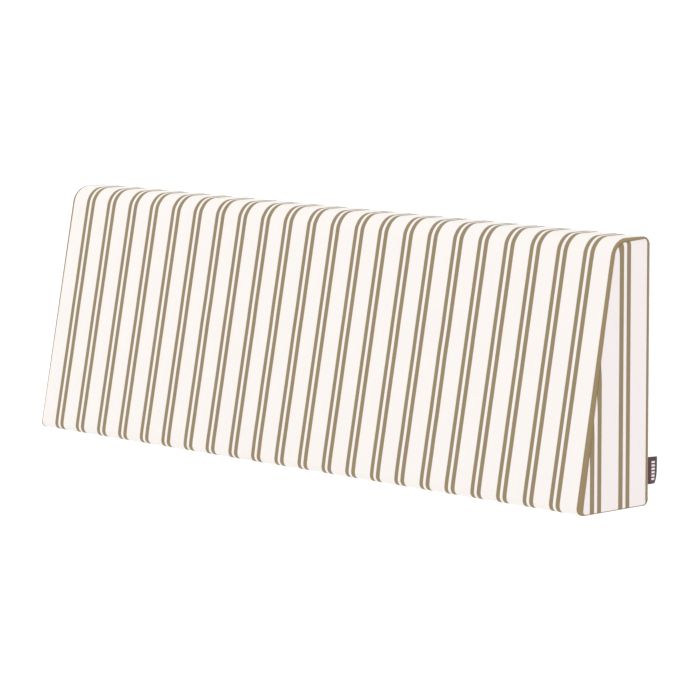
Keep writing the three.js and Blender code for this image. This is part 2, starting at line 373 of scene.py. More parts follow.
# Puckers by the seam: height, where they are strongest and fade, and their shift between the ends
PUCKER_HEIGHT = 0.22
PUCKER_START = 2.5
PUCKER_REACH = 14.0
PUCKER_SHIFT = 7
PUCKER_WAVES = dict(seed=3, lengths=(8.3, 12.7, 19.1, 31.0), heights=(0.6, 1.0, 0.8, 0.5))
# Unevenness of the cloth over the foam: height, distance from the seam, and waves both ways
EASE_HEIGHT = 0.3
EASE_START = 30
EASE_SLANT = 0.15
EASE_ALONG = dict(seed=5, lengths=(83.0, 131.0, 209.0), heights=(0.6, 0.8, 1.0))
EASE_UP = dict(seed=8, lengths=(71.0, 113.0, 187.0), heights=(0.6, 0.8, 1.0))
# Depth counts for more than height in the waves round the section, so that no two faces match
AROUND_PER_DEPTH = 2.2
# The base is kept flat: what is below the snap lies on the floor, and the waves fade in above it
FLOOR_SNAP = 0.05
BASE_FADE = 12


def wrap_end(outline, end):
    """Rings of the wrap over one end, each with the cloth's own length: out to the edging, under
    it, and under the end panel."""
    inner, outer = outline.spread(end["inner"]), outer_lengths(outline, end)
    steps = [(inner * share, 0.0) for share in WRAP_SHARES]
    steps += [(inner + past, depth) for past, depth in WRAP_AT_INNER]
    steps += [(outer + past, depth) for past, depth in WRAP_AT_OUTER]
    rings = [(end_ring(outline, arc, depth), SHOULDER + arc) for arc, depth in steps]
    flat = np.column_stack([np.full(outline.count, END_FACE), outline.at(END_FACE_INSET)])
    rings.append((flat, np.full(outline.count, HALF_LENGTH + END_FACE_INSET)))
    return [(ring * (end["side"], 1, 1), end["side"] * length) for ring, length in rings]


def make_cover():
    """The wrap panel over the foam: front, top, back and base, closed under the end panels."""
    outline = Outline()
    right, left = (wrap_end(outline, end) for end in ENDS)
    rings = list(reversed(left))
    stations = round(2 * SHOULDER / GRID)
    for x in np.linspace(-SHOULDER, SHOULDER, stations + 1):
        place = np.full(outline.count, x)
        rings.append((np.column_stack([place, outline.points]), place))
    rings += right
    points, faces = lofted([ring for ring, _ in rings])
    along = np.minimum(np.abs(points[:, 0]) / SHOULDER, 1)
    up = points[:, 2] / HEIGHT
    points[:, 2] += TOP_ARCH * (1 - along**ARCH_END_POWER) * up**ARCH_FOOT_POWER
    spread = 1 + STRIPE_SPREAD * (points[:, 2] / HEIGHT - STRIPE_LEVEL)
    across = np.concatenate([length for _, length in rings]) * spread
    uvs = []
    for face in faces:
        column = face[0] % outline.count
        uvs += [(across[i], outline.arc[column + step]) for i, step in zip(face, (0, 1, 1, 0))]
    last = (len(rings) - 1) * outline.count
    for cap in (range(outline.count - 1, -1, -1), range(last, last + outline.count)):
        faces.append(tuple(cap))
        uvs += [(across[i], outline.arc[i % outline.count]) for i in cap]
    cover = make_object("wrap_cover", points, faces, uvs)

    normals = np.tile(outline.normals, (len(rings), 1))
    swells = outline.spread({face["name"]: (face["swell"],) for face in FACES})
    from_seam = np.maximum(SHOULDER - np.abs(points[:, 0]), 0)
    moved = inflated(cover, from_seam < PINNED_BAND, WRAP_PRESSURE)
    outward = np.einsum("ij,ij->i", moved[:, 1:], normals)
    rise = np.tanh(np.maximum(outward, 0) / SATURATION)
    points[:, 1:] += normals * (rise * np.tile(swells, len(rings)))[:, None]
    set_points(cover.data, above_floor(points))

    cover.modifiers.new("smooth", "SUBSURF").levels = 1
    applied(cover)
    ease_cloth(cover)
    return cover


def ease_cloth(cover):
    """Slight unevenness of cloth over foam, and soft puckers where it is sewn to the edging."""
    points = points_of(cover.data)
    points[:, 2] = np.where(points[:, 2] < FLOOR_SNAP, 0, points[:, 2])
    set_points(cover.data, points)
    normals = np.empty(len(points) * 3)
    cover.data.vertices.foreach_get("normal", normals)
    normals = normals.reshape(-1, 3)
    x, y, z = points.T
    around = z + AROUND_PER_DEPTH * y
    from_seam = np.maximum(SHOULDER - np.abs(x), 0)
    puckers = seeded_waves(**PUCKER_WAVES)(around + np.sign(x) * PUCKER_SHIFT)
    near = near_seam(from_seam, PUCKER_REACH, PUCKER_START)
    lengthways = seeded_waves(**EASE_ALONG)(x + EASE_SLANT * z)
    upward = seeded_waves(**EASE_UP)(around)
    inside = 1 - np.exp(-from_seam / EASE_START)
    height = PUCKER_HEIGHT * puckers * near + EASE_HEIGHT * lengthways * upward * inside
    off_base = np.clip(z / BASE_FADE, 0, 1)
    points += normals * (height * off_base)[:, None]
    set_points(cover.data, above_floor(points))


# End panels: size of the mesh, how far the face stands back from the end's outline and the rim goes
# in under the edging, the cloth's thickness over its batting, and the crown
PANEL_MESH = 4.5
PANEL_SET_BACK = 0.3
PANEL_RIM_DEPTH = 0.85
PANEL_THICKNESS = 1.2
PANEL_CROWN = 0.6
# Rings of its rim: lengths from the edging's outer edge with their depths. The last begins the
# face, which then runs in by these shares until it is past the end's rounding and this far in.
PANEL_FACE_START = 0.6
PANEL_RIM = (
    (-1.5, PANEL_RIM_DEPTH), (-0.2, PANEL_RIM_DEPTH), (0.2, 0.45),
    (PANEL_FACE_START, PANEL_SET_BACK),
)
PANEL_FACE_SHARES = (0.25, 0.5, 0.75, 1.0)
PANEL_FACE_LEAST = 0.8
PANEL_FACE_PAST = 0.12
# Spacing of its points: height of a row as a share of the mesh size, and least distance to the rim
ROW_SHARE = 0.866
RIM_SHARE = 0.45
MERGE_DISTANCE = 1e-4
# Its plain swelling and puckers, as for the wrap
PANEL_PUCKER = 0.12
PANEL_PUCKER_START = 2
PANEL_PUCKER_REACH = 8
PANEL_AROUND_PER_DEPTH = 1.7
PANEL_WAVES = dict(seed=11, lengths=(9.1, 13.9, 21.7), heights=(0.7, 1.0, 0.6))


def distance_to(loop, points):
    """Distance of each point from the closed line through the loop's points."""
    ab = np.roll(loop, -1, 0) - loop
    t = np.einsum("pij,ij->pi", points[:, None] - loop, ab) / np.einsum("ij,ij->i", ab, ab)
    nearest = loop + np.clip(t, 0, 1)[..., None] * ab
    return np.linalg.norm(points[:, None] - nearest, axis=2).min(axis=1)


def filled(loop):
    """Points inside the loop after the loop's own points, and triangles over them all."""
    low, high = loop.min(0), loop.max(0)
    grid = []
    for row, z in enumerate(np.arange(low[1], high[1], PANEL_MESH * ROW_SHARE)):
        shift = PANEL_MESH / 2 * (row % 2)
        grid += [(y, z) for y in np.arange(low[0] + shift, high[0], PANEL_MESH)]
    grid = np.array(grid)
    grid = grid[inside_of(loop, grid)]
    grid = grid[distance_to(loop, grid) > PANEL_MESH * RIM_SHARE]
    edges = [(i, (i + 1) % len(loop)) for i in range(len(loop))]
    given = [Vector(p) for p in np.concatenate([loop, grid])]
    _, _, triangles, came_from, *_ = delaunay_2d_cdt(given, edges, [], 1, MERGE_DISTANCE)
    order = [sources[0] for sources in came_from]
    return np.array([tuple(p) for p in given]), [tuple(order[i] for i in t) for t in triangles]


def make_panel(end):
    """One end panel: its rim under the edging, a face over the end's rounding, and its middle."""
    outline = Outline()
    outer = outer_lengths(outline, end)
    radius = outline.spread(END_RADIUS)
    flat = bend_start(radius) + radius * math.pi / 2
    rim_end = np.maximum(flat, outer + PANEL_FACE_LEAST) + PANEL_FACE_PAST
    steps = [(outer + past, depth) for past, depth in PANEL_RIM]
    for share in PANEL_FACE_SHARES:
        arc = (outer + PANEL_FACE_START) * (1 - share) + rim_end * share
        steps.append((arc, PANEL_SET_BACK))
    face_rings = [end_ring(outline, arc, depth) for arc, depth in steps]
    back_rings = [end_ring(outline, arc, depth + PANEL_THICKNESS) for arc, depth in steps]
    unrolled = []
    for arc, _ in steps:
        _, seen = rounded_end(arc, 0.0, radius)
        unrolled.append(outline.at((radius + arc - flat + seen) / 2))

    rings, count = len(steps), outline.count
    points, faces = lofted(list(reversed(back_rings)) + face_rings)
    cloth = np.concatenate(list(reversed(unrolled)) + unrolled)
    middle, triangles = filled(face_rings[-1][:, 1:])
    added = middle[count:]
    first_face, first_back = len(points), len(points) + len(added)
    x = HALF_LENGTH - PANEL_SET_BACK
    points = np.concatenate([
        points,
        np.column_stack([np.full(len(added), x), added]),
        np.column_stack([np.full(len(added), x - PANEL_THICKNESS), added]),
    ])
    cloth = np.concatenate([cloth, added, added])
    last_ring = (2 * rings - 1) * count
    for first_rim, first_added, turned in ((last_ring, first_face, 1), (0, first_back, -1)):
        for triangle in triangles:
            corners = triangle[::turned]
            faces.append(tuple(
                first_rim + i if i < count else first_added + i - count for i in corners
            ))
    uvs = [cloth[i] for face in faces for i in face]
    panel = make_object(f"panel_cover_{end['name']}", points, faces, uvs)

    free = np.zeros(len(points), dtype=bool)
    free[first_face:first_back] = True
    from_rim = np.zeros(len(points))
    from_rim[first_face:first_back] = distance_to(face_rings[-1][:, 1:], added)
    moved = inflated(panel, ~free, PANEL_PRESSURE)
    rise = np.where(free, np.tanh(np.maximum(moved[:, 0], 0) / SATURATION), 0)
    around = points[:, 2] + PANEL_AROUND_PER_DEPTH * points[:, 1]
    puckers = seeded_waves(**PANEL_WAVES)(around)
    near = near_seam(from_rim, PANEL_PUCKER_REACH, PANEL_PUCKER_START)
    points[:, 0] += PANEL_CROWN * rise + PANEL_PUCKER * puckers * near
    points[:, 0] *= end["side"]
    set_points(panel.data, points)
    if end["side"] < 0:
        panel.data.flip_normals()
    return panel


# Edging: a flat tape with a slight dome, the steps across its face and back along its inner face,
# where it stays a little off both edges, and how far it wanders to either side
EDGING_DOME = dict(base=(0.1,), back=(0.05,), top=(0.4,), front=(0.25,))
EDGING_DOME_POWER = 3
EDGING_DEPTH = 0.7
EDGING_COLUMNS = 12
EDGING_BACK_STEPS = 4
EDGING_BACK_START = 0.04
EDGING_BACK_WIDTH = 0.92
EDGING_WANDER = 0.1
WANDER_WAVES = dict(lengths=(37.0, 61.0, 97.0), heights=(0.5, 0.8, 1.0))


def make_edging(end):
    """The tape as a closed band: across its domed face, and back along its inner face."""
    outline = Outline(finer=2)
    inner, outer = outline.spread(end["inner"]), outer_lengths(outline, end)
    wander = seeded_waves(end["seed"], **WANDER_WAVES)(outline.arc[:-1])
    steps = []
    for n in range(EDGING_COLUMNS + 1):
        share = n / EDGING_COLUMNS
        rise = 1 - abs(2 * share - 1) ** EDGING_DOME_POWER
        steps.append((share, -outline.spread(EDGING_DOME) * rise))
    for n in range(EDGING_BACK_STEPS, -1, -1):
        share = EDGING_BACK_START + EDGING_BACK_WIDTH * n / EDGING_BACK_STEPS
        steps.append((share, EDGING_DEPTH))
    rings = []
    for share, depth in steps:
        arc = inner + share * (outer - inner) + EDGING_WANDER * wander
        rings.append(end_ring(outline, arc, depth))
    points, faces = lofted(rings, loop=True)
    width = float((outer - inner).mean())
    uvs = []
    for face in faces:
        column = face[0] % outline.count
        for index, step in zip(face, (0, 1, 1, 0)):
            uvs.append((outline.arc[column + step], steps[index // outline.count][0] * width))
    points = above_floor(points) * (end["side"], 1, 1)
    edging = make_object(f"edging_tape_{end['name']}", points, faces, uvs)
    if end["side"] < 0:
        edging.data.flip_normals()
    return edging


# Stitches: their sizes at the edging and at the label, and how much one differs from the next
EDGING_STITCH = {"Pitch": 3.0, "Stitch length": 2.3, "Thread width": 0.42}
LABEL_STITCH = {"Pitch": 2.4, "Stitch length": 1.9, "Thread width": 0.35}
STITCH_LEAST, STITCH_MOST, STITCH_SEED = 0.86, 1.06, 4
STITCH_SEGMENTS, STITCH_RINGS = 6, 5
# Where the edging's rows lie: in from its edges, up its dome, and off the floor
STITCH_FROM_EDGE = 1.0
STITCH_ON_DOME = 0.75
STITCH_LOWEST = 0.25


def stitch_tree():
    """Geometry nodes: one stitch every pitch along the mesh's edges, laid along the edge."""
    tree = bpy.data.node_groups.new("sewing", "GeometryNodeTree")
    sockets = (
        ("Path", "Geometry"), ("Pitch", "Float"), ("Stitch length", "Float"),
        ("Thread width", "Float"), ("Thread", "Material"),
    )
    for name, kind in sockets:
        tree.interface.new_socket(name, in_out="INPUT", socket_type=f"NodeSocket{kind}")
    tree.interface.new_socket("Stitches", in_out="OUTPUT", socket_type="NodeSocketGeometry")
    nodes = tree.nodes
    start = nodes.new("NodeGroupInput")
    end = nodes.new("NodeGroupOutput")
    curve = nodes.new("GeometryNodeMeshToCurve")
    even = nodes.new("GeometryNodeResampleCurve")
    even.mode = "LENGTH"
    tangent = nodes.new("GeometryNodeInputTangent")
    align = nodes.new("FunctionNodeAlignRotationToVector")
    align.axis = "X"
    ball = nodes.new("GeometryNodeMeshUVSphere")
    ball.inputs["Segments"].default_value = STITCH_SEGMENTS
    ball.inputs["Rings"].default_value = STITCH_RINGS
    ball.inputs["Radius"].default_value = 0.5
    size = nodes.new("ShaderNodeCombineXYZ")
    # Inputs 2 and 3 and output 1 are the random value's numbers, not its vectors
    wobble = nodes.new("FunctionNodeRandomValue")
    wobble.data_type = "FLOAT"
    wobble.inputs["Seed"].default_value = STITCH_SEED
    wobble.inputs[2].default_value = STITCH_LEAST
    wobble.inputs[3].default_value = STITCH_MOST
    scale = nodes.new("ShaderNodeVectorMath")
    scale.operation = "SCALE"
    place = nodes.new("GeometryNodeInstanceOnPoints")
    real = nodes.new("GeometryNodeRealizeInstances")
    smooth = nodes.new("GeometryNodeSetShadeSmooth")
    paint = nodes.new("GeometryNodeSetMaterial")
    for source, output, target, into in (
        (start, "Path", curve, "Mesh"),
        (curve, "Curve", even, "Curve"),
        (start, "Pitch", even, "Length"),
        (even, "Curve", place, "Points"),
        (ball, "Mesh", place, "Instance"),
        (tangent, "Tangent", align, "Vector"),
        (align, "Rotation", place, "Rotation"),
        (start, "Stitch length", size, "X"),
        (start, "Thread width", size, "Y"),
        (start, "Thread width", size, "Z"),
        (size, "Vector", scale, "Vector"),
        (wobble, 1, scale, "Scale"),
        (scale, "Vector", place, "Scale"),
        (place, "Instances", real, "Geometry"),
        (real, "Geometry", smooth, "Geometry"),
        (smooth, "Geometry", paint, "Geometry"),
        (start, "Thread", paint, "Material"),
        (paint, "Geometry", end, "Stitches"),
    ):
        tree.links.new(source.outputs[output], target.inputs[into])
    return tree


def sewn(name, tree, paths, thread, sizes):
    """Stitches along the paths, each a list of points in millimetres and whether it closes."""
    points, edges = [], []
    for path, closed in paths:
        first = len(points)
        points += [tuple(np.array(p) * MM) for p in path]
        edges += [(first + i, first + i + 1) for i in range(len(path) - 1)]
        if closed:
            edges.append((first + len(path) - 1, first))
    mesh = bpy.data.meshes.new(name)
    mesh.from_pydata(points, edges, [])
    obj = linked(name, mesh)
    modifier = obj.modifiers.new("sewing", "NODES")
    modifier.node_group = tree
    inputs = [item for item in tree.interface.items_tree if item.in_out == "INPUT"]
    keys = {item.name: item.identifier for item in inputs}
    for size, value in sizes.items():
        modifier[keys[size]] = value * MM
    modifier[keys["Thread"]] = thread
    applied(obj)
    set_points(obj.data, above_floor(points_of(obj.data)))
    return obj


def edging_stitch_lines(end):
    """The two rows of stitches that hold one edging, just inside its edges."""
    outline = Outline(finer=2)
    inner, outer = outline.spread(end["inner"]), outer_lengths(outline, end)
    lines = []
    for arc in (inner + STITCH_FROM_EDGE, outer - STITCH_FROM_EDGE):
        line = end_ring(outline, arc, -STITCH_ON_DOME * outline.spread(EDGING_DOME))
        lines.append((above_floor(line, STITCH_LOWEST) * (end["side"], 1, 1), True))
    return lines


# Side label: a folded tape that stands out of the back seam of the right end
LABEL_HEIGHT = 31.3
LABEL_WIDTH = 15.8
LABEL_THICKNESS = 0.22
LABEL_ABOVE_BASE = 23.2
LABEL_ROOT_X = 471.0
LABEL_ROOT_Y = 57.6
# How it hangs: its sag, its bend off the end, and the curl, lift and tuck of its lower free corner,
# which fade upwards
LABEL_SAG = 0.65
LABEL_BEND = 0.6
LABEL_CORNER_CURL = 2.1
LABEL_CORNER_LIFT = 0.4
LABEL_CORNER_TUCK = 1.4
LABEL_CORNER_FADE = 4.5
# Its two layers: half their distance, in shares that stay and that open out between root and fold,
# how much more they open at mid height, and the mesh's columns, rows and steps round the fold
LABEL_LAYER = 0.5
LABEL_STAYS, LABEL_OPENS = 0.55, 0.45
LABEL_GAPE = 0.25
LABEL_COLUMNS, LABEL_ROWS, LABEL_FOLD_STEPS = 16, 24, 5
# Its row of stitches: share of the width, distance off its middle, and points up its height
LABEL_STITCH_OUT = 0.2
LABEL_STITCH_OFF = 0.62
LABEL_STITCH_LEVELS = np.linspace(0.06, 0.94, 12)


def label_place(out, up):
    """Middle surface of the label, for shares of its width and height."""
    low = (1 - up) ** LABEL_CORNER_FADE
    x = LABEL_ROOT_X + LABEL_BEND * out**2 - LABEL_CORNER_CURL * low * out**3
    y = LABEL_ROOT_Y + LABEL_WIDTH * out - LABEL_CORNER_TUCK * low * out**2
    z = LABEL_ABOVE_BASE + LABEL_HEIGHT * up + LABEL_CORNER_LIFT * low * out**2 - LABEL_SAG * out
    return np.array((x, y, z))


def label_strip(up, thinner):
    """One face of the folded tape at a height, from root to fold to root: its share of the width
    and its distance off the middle. The inner face is thinner by the tape's thickness."""
    spread = 1 + LABEL_GAPE * math.sin(math.pi * up)
    side = []
    for out in np.arange(LABEL_COLUMNS + 1) / LABEL_COLUMNS:
        open_share = LABEL_STAYS + LABEL_OPENS * spread * math.sin(math.pi * out) ** 0.5
        side.append((out, LABEL_LAYER * open_share - thinner))
    radius = side[-1][1]
    turns = np.linspace(math.pi / 2, -math.pi / 2, LABEL_FOLD_STEPS + 2)[1:-1]
    fold = [(1 + radius * math.cos(a) / LABEL_WIDTH, radius * math.sin(a)) for a in turns]
    return side + fold + [(out, -off) for out, off in reversed(side)]


def make_label():
    """The tape out to its rounded fold and back: a strip with a slit between its two layers."""
    rings = []
    for r in range(LABEL_ROWS + 1):
        up = r / LABEL_ROWS
        profile = label_strip(up, 0.0) + label_strip(up, LABEL_THICKNESS)[::-1]
        rings.append(np.array([label_place(out, up) + (off, 0, 0) for out, off in profile]))
    points, faces = lofted(rings)
    outs = [out for out, _ in profile]
    count = len(outs)
    for first, turned in ((0, -1), (LABEL_ROWS * count, 1)):
        for i in range(count // 2 - 1):
            quad = (first + i, first + i + 1, first + count - 2 - i, first + count - 1 - i)
            faces.append(quad[::turned])
    uvs = []
    for i in (i for face in faces for i in face):
        uvs.append((outs[i % count] * LABEL_WIDTH, LABEL_HEIGHT * (i // count) / LABEL_ROWS))
    return make_object("label_tab", points, faces, uvs)


def label_stitch_line():
    """The row of stitches by the label's root, on its outer layer."""
    off = (LABEL_STITCH_OFF, 0, 0)
    return [label_place(LABEL_STITCH_OUT, up) + off for up in LABEL_STITCH_LEVELS]


class Finish:
    """A material and short calls that add nodes to it."""

    def __init__(self, name):
        self.material = bpy.data.materials.new(name)
        self.material.use_nodes = True
        self.tree = self.material.node_tree
        self.shader = self.tree.nodes["Principled BSDF"]

    def feed(self, socket, value):
        if isinstance(value, bpy.types.NodeSocket):
            self.tree.links.new(value, socket)
        else:
            socket.default_value = value

    def node(self, kind, **settings):
        node = self.tree.nodes.new(kind)
        for name, value in settings.items():
            setattr(node, name, value)
        return node

    def maths(self, operation, *values):
        node = self.node("ShaderNodeMath", operation=operation)
        for socket, value in zip(node.inputs, values):
            self.feed(socket, value)
        return node.outputs[0]

    def away(self, value, middle):
        """Distance of a value from a middle."""
        return self.maths("ABSOLUTE", self.maths("SUBTRACT", value, middle))

    def wave(self, value, turn):
        """A sine of the value times turn, from 0 to 1."""
        sine = self.maths("SINE", self.maths("MULTIPLY", value, turn))
        return self.maths("MULTIPLY_ADD", sine, 0.5, 0.5)

    def weighted(self, *parts):
        """The sum of values, each times its weight."""
        terms = [self.maths("MULTIPLY", value, weight) for value, weight in parts]
        total = terms[0]
        for term in terms[1:]:
            total = self.maths("ADD", total, term)
        return total

    def ramp(self, value, low, high, to_low=0.0, to_high=1.0, smooth=True):
        node = self.node("ShaderNodeMapRange")
        node.interpolation_type = "SMOOTHSTEP" if smooth else "LINEAR"
        for socket, given in zip(node.inputs, (value, low, high, to_low, to_high)):
            self.feed(socket, given)
        return node.outputs[0]

    def mix(self, share, a, b):
        node = self.node("ShaderNodeMix", data_type="RGBA")
        self.feed(node.inputs[0], share)
        self.feed(node.inputs[6], a)
        self.feed(node.inputs[7], b)
        return node.outputs[2]

    def noise(self, vector, scale, detail):
        node = self.node("ShaderNodeTexNoise")
        self.feed(node.inputs["Vector"], vector)
        self.feed(node.inputs["Scale"], scale)
        self.feed(node.inputs["Detail"], detail)
        return node.outputs["Fac"]

    def stretched(self, vector, x, y, z=1.0):
        node = self.node("ShaderNodeMapping")
        self.feed(node.inputs["Vector"], vector)
        self.feed(node.inputs["Scale"], (x, y, z))
        return node.outputs["Vector"]

    def cloth_axes(self):
        """The cloth's own coordinates in millimetres: across, along, and both as a vector."""
        uv = self.node("ShaderNodeUVMap", uv_map="cloth").outputs["UV"]
        vector = self.stretched(uv, 1 / MM, 1 / MM)
        split = self.node("ShaderNodeSeparateXYZ")
        self.feed(split.inputs[0], vector)
        return split.outputs[0], split.outputs[1], vector

    def bump(self, height, rise, strength, under=None):
        """A normal from a height of 0 to 1, which stands for a rise in millimetres."""
        node = self.node("ShaderNodeBump")
        self.feed(node.inputs["Strength"], strength)
        self.feed(node.inputs["Distance"], rise * MM)
        self.feed(node.inputs["Height"], height)
        if under is not None:
            self.feed(node.inputs["Normal"], under)
        return node.outputs["Normal"]

    def surface(self, colour, roughness, normal=None, sheen=0.0, specular=0.3):
        self.feed(self.shader.inputs["Base Color"], colour)
        self.feed(self.shader.inputs["Roughness"], roughness)
        self.shader.inputs["Sheen Weight"].default_value = sheen
        self.shader.inputs["Specular IOR Level"].default_value = specular
        if normal is not None:
            self.feed(self.shader.inputs["Normal"], normal)
        return self.material


# Colours of the cloth, each as its lighter and darker shade. The end panels are the same cloth as
# the wrap, but their white is a trace darker and pinker: painted shade, the tint of the light on
# the ends.
WHITE_WRAP = ((0.886, 0.846, 0.817, 1), (0.859, 0.818, 0.787, 1))
SHADED_PANEL_WHITE = ((0.875, 0.820, 0.807, 1), (0.849, 0.793, 0.777, 1))
BROWN_COTTON = ((0.306, 0.233, 0.136, 1), (0.276, 0.208, 0.118, 1))
BROWN_TAPE = ((0.336, 0.247, 0.135, 1), (0.304, 0.221, 0.118, 1))
BROWN_THREAD = ((0.34, 0.25, 0.155, 1), (0.25, 0.18, 0.105, 1))
DARK_THREAD = ((0.13, 0.08, 0.09, 1), (0.08, 0.045, 0.052, 1))
LABEL_SATIN = ((0.093, 0.043, 0.053, 1), (0.070, 0.031, 0.039, 1))
LABEL_MARK = (0.78, 0.74, 0.74, 1)
COTTON_SHEEN, COTTON_SPECULAR = 0.12, 0.2

# Striped cotton: pitch of its plain weave, and noise in turns per millimetre across and along the
# cloth, for its uneven warp and weft threads, its mottle, and the edges of the stripes
THREAD_PITCH = 0.42
WARP_NOISE = (2.3, 0.045)
WEFT_NOISE = (0.05, 2.3)
MOTTLE_NOISE = 0.02
EDGE_NOISE = (0.2, 1.9)
# How far a stripe's edge strays, half the width over which it blurs, and that of the last stripe
EDGE_STRAY = 0.35
EDGE_BLUR = 0.12
LAST_BLUR = 0.3

# Edging tape: its twill's slant, its turns per millimetre, and its fibres
TWILL_SLANT = 0.8
TWILL_TURN = 9.5
FIBRE_NOISE = (1.5, 1.5)

# Thread: its twist in turns per millimetre
TWIST_NOISE = 2.5

# Label: its satin ribs and fibres, and the pale bars, with pitch and length up the label, the bare
# margin at both ends, the column's middle and half width across it, and the blur of their edges
RIB_TURN = 14.0
SATIN_NOISE = (0.6, 4.0)
BAR_PITCH, BAR_LENGTH, BAR_MARGIN = 3.9, 2.4, 4.4
BAR_MIDDLE, BAR_HALF_WIDTH, BAR_BLUR = 9.6, 2.7, 0.1


def weave(finish, across, along, pitch):
    """Height of a plain weave of the given thread pitch, from 0 to 1."""
    turn = math.pi / pitch
    warp = finish.maths("SINE", finish.maths("MULTIPLY", across, turn))
    weft = finish.maths("SINE", finish.maths("MULTIPLY", along, turn))
    crossing = finish.maths("MULTIPLY", warp, weft)
    return finish.maths("MULTIPLY_ADD", crossing, 0.5, 0.5)


def stripe_mask(finish, across, stray, pitch, first, gap, second, shift, odd):
    """1 on the stripes and 0 between them; stray moves their edges by a part of a millimetre."""
    place = finish.maths("ADD", finish.maths("DIVIDE", across, pitch), shift)
    number = finish.maths("ROUND", place)
    if odd:
        parity = finish.maths("PINGPONG", number, 1.0)
        place = finish.maths("SUBTRACT", place, finish.maths("MULTIPLY", parity, odd))
    from_middle = finish.maths("MULTIPLY", finish.maths("SUBTRACT", place, number), pitch)
    from_middle = finish.maths("ADD", from_middle, stray)
    distances = []
    for middle, width in ((-(gap + first) / 2, first), ((gap + second) / 2, second)):
        distances.append(finish.maths("SUBTRACT", finish.away(from_middle, middle), width / 2))
    nearest = finish.maths("MINIMUM", *distances)
    return finish.ramp(nearest, EDGE_BLUR, -EDGE_BLUR)


def striped_cotton(name, stripes, until, white):
    """Off-white plain weave with pairs of brown stripes, out to a distance from the middle."""
    finish = Finish(name)
    across, along, vector = finish.cloth_axes()
    threads = finish.noise(finish.stretched(vector, *WARP_NOISE), 1.0, 1.0)
    wefts = finish.noise(finish.stretched(vector, *WEFT_NOISE), 1.0, 1.0)
    mottle = finish.noise(vector, MOTTLE_NOISE, 3.0)
    edge = finish.noise(finish.stretched(vector, *EDGE_NOISE), 1.0, 0.0)
    stray = finish.maths("MULTIPLY", finish.maths("SUBTRACT", edge, 0.5), EDGE_STRAY)
    mask = stripe_mask(finish, across, stray, **stripes)
    on_face = finish.ramp(finish.maths("ABSOLUTE", across), until, until - LAST_BLUR)
    mask = finish.maths("MULTIPLY", mask, on_face)
    shade = finish.ramp(finish.weighted((threads, 0.4), (wefts, 0.3), (mottle, 0.3)), 0.3, 0.7)
    ground = finish.mix(shade, white[1], white[0])
    brown = finish.mix(shade, BROWN_COTTON[1], BROWN_COTTON[0])
    colour = finish.mix(mask, ground, brown)
    normal = finish.bump(weave(finish, across, along, THREAD_PITCH), 0.10, 0.5)
    normal = finish.bump(threads, 0.12, 0.5, normal)
    normal = finish.bump(wefts, 0.10, 0.5, normal)
    roughness = finish.ramp(shade, 0.0, 1.0, 0.93, 0.86, smooth=False)
    return finish.surface(colour, roughness, normal, COTTON_SHEEN, COTTON_SPECULAR)


def edging_cotton(name):
    """Olive-brown cotton tape in a fine diagonal twill."""
    finish = Finish(name)
    along, across, vector = finish.cloth_axes()
    diagonal = finish.maths("ADD", finish.maths("MULTIPLY", along, TWILL_SLANT), across)
    ribs = finish.wave(diagonal, TWILL_TURN)
    fibres = finish.noise(finish.stretched(vector, *FIBRE_NOISE), 1.0, 3.0)
    shade = finish.ramp(finish.weighted((ribs, 0.35), (fibres, 0.65)), 0.25, 0.75)
    colour = finish.mix(shade, BROWN_TAPE[1], BROWN_TAPE[0])
    normal = finish.bump(ribs, 0.08, 0.6)
    normal = finish.bump(fibres, 0.08, 0.4, normal)
    roughness = finish.ramp(fibres, 0.3, 0.7, 0.92, 0.84, smooth=False)
    return finish.surface(colour, roughness, normal, COTTON_SHEEN, COTTON_SPECULAR)


def stitch_thread(name, colours):
    """Twisted sewing thread, with its sheen."""
    finish = Finish(name)
    coordinates = finish.node("ShaderNodeTexCoord").outputs["Object"]
    vector = finish.stretched(coordinates, 1 / MM, 1 / MM, 1 / MM)
    twist = finish.noise(vector, TWIST_NOISE, 1.0)
    colour = finish.mix(finish.ramp(twist, 0.35, 0.65), colours[1], colours[0])
    normal = finish.bump(twist, 0.05, 0.5)
    return finish.surface(colour, finish.ramp(twist, 0.3, 0.7, 0.7, 0.55), normal, sheen=0.1)


def label_weave(name):
    """Dark satin label with a plain column of pale woven bars."""
    finish = Finish(name)
    across, along, vector = finish.cloth_axes()
    ribs = finish.wave(along, RIB_TURN)
    fibres = finish.noise(finish.stretched(vector, *SATIN_NOISE), 1.0, 2.0)
    ground = finish.mix(finish.ramp(fibres, 0.3, 0.7), LABEL_SATIN[1], LABEL_SATIN[0])
    phase = finish.maths("MODULO", finish.maths("SUBTRACT", along, BAR_MARGIN), BAR_PITCH)
    from_bar, half = finish.away(phase, BAR_LENGTH / 2), BAR_LENGTH / 2
    in_bar = finish.ramp(from_bar, half + BAR_BLUR, half - BAR_BLUR)
    from_column, half = finish.away(across, BAR_MIDDLE), BAR_HALF_WIDTH
    in_column = finish.ramp(from_column, half + BAR_BLUR, half - BAR_BLUR)
    from_middle, half = finish.away(along, LABEL_HEIGHT / 2), LABEL_HEIGHT / 2 - BAR_MARGIN
    in_rows = finish.ramp(from_middle, half + BAR_BLUR, half)
    mark = finish.maths("MULTIPLY", finish.maths("MULTIPLY", in_bar, in_column), in_rows)
    colour = finish.mix(mark, ground, LABEL_MARK)
    normal = finish.bump(ribs, 0.05, 0.4)
    normal = finish.bump(fibres, 0.05, 0.4, normal)
    roughness = finish.ramp(fibres, 0.3, 0.7, 0.62, 0.5)
    return finish.surface(colour, roughness, normal, sheen=0.08)


def dress(piece, material, slot, *nodes):
    """Gives a piece its material and its place in the frame."""
    piece.data.materials.clear()
    piece.data.materials.append(material)
    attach(piece, "root")
    if nodes:
        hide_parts(*nodes)


